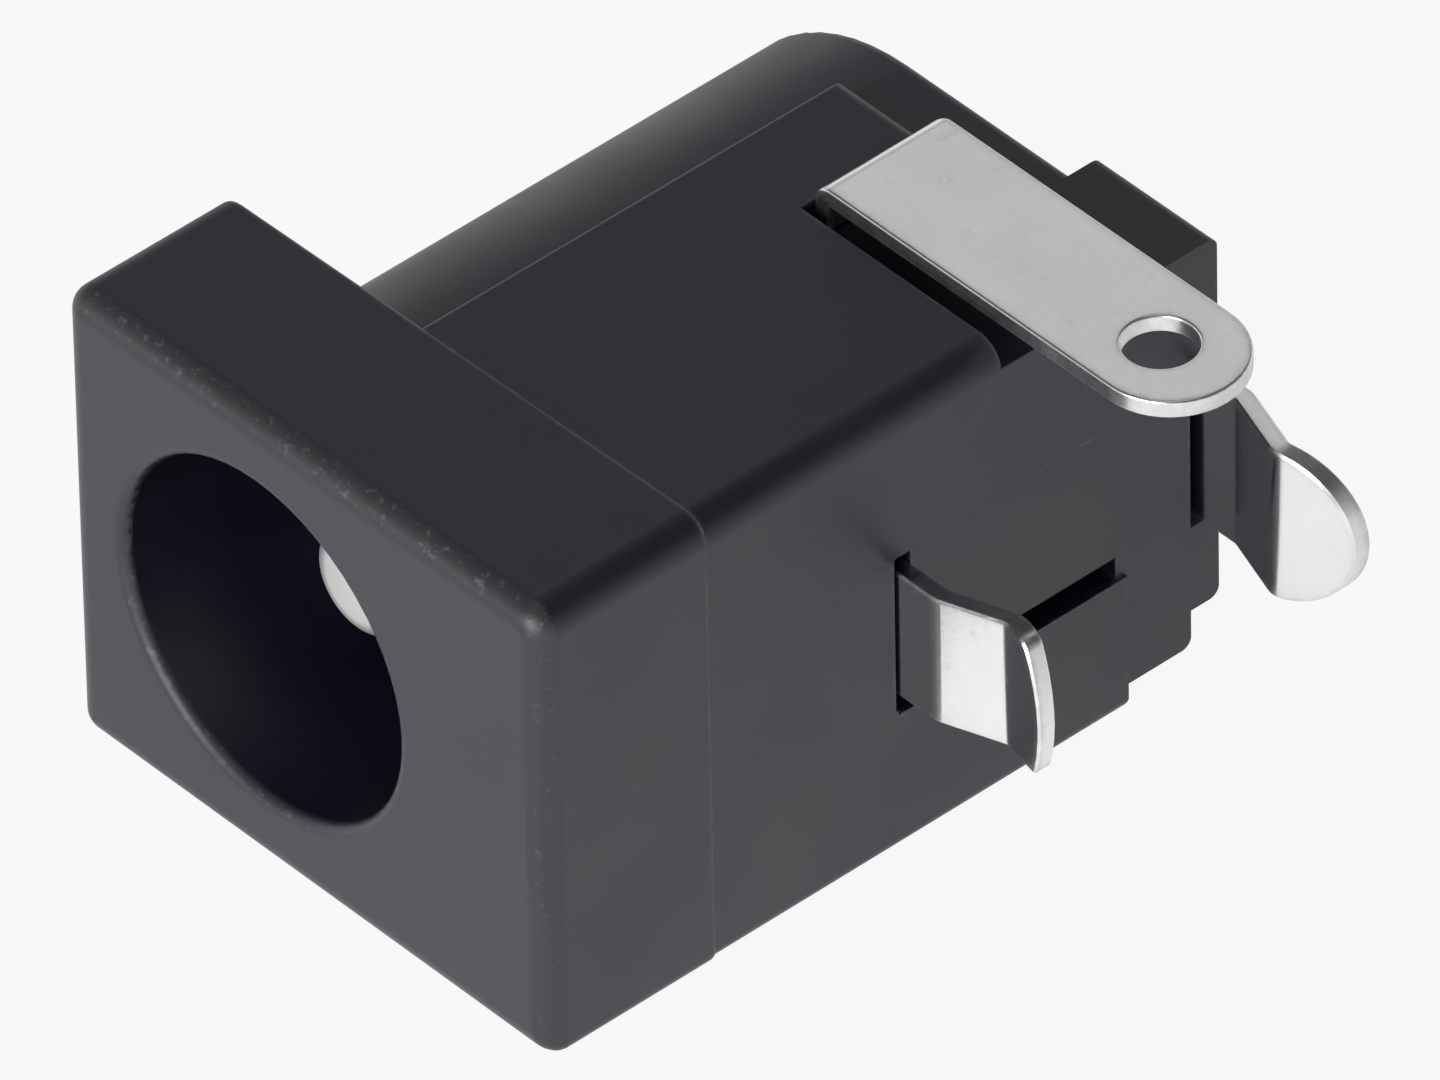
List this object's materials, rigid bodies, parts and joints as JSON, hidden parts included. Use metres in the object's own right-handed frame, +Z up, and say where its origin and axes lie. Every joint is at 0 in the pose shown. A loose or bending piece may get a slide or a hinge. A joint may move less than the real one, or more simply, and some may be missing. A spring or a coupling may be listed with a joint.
{
  "type": "dc barrel jack",
  "caption": "Board-mounted DC power jack with a moulded square flange and half-round body, centre pin and kinked solder tails.",
  "frame": {"origin": "on the jack's axis, in the plane of the mouth", "axes": "-Y out of the mouth, towards the plug; +X towards the circuit board, the way the tails point; +Z up, with the side contact on the upper side and the jack lying on its lower flat side"},
  "size_m": [0.0146, 0.0143, 0.0094],
  "materials": {
    "housing_plastic": "satin",
    "plated_pin": "satin nickel plating",
    "plated_sheet": "satin tin plating"
  },
  "bodies": {
    "root": {"housing": "housing_plastic", "centre_pin": "plated_pin", "pin_terminal": "plated_sheet", "sleeve_contact": "plated_sheet", "side_contact": "plated_sheet"}
  },
  "joints": []
}
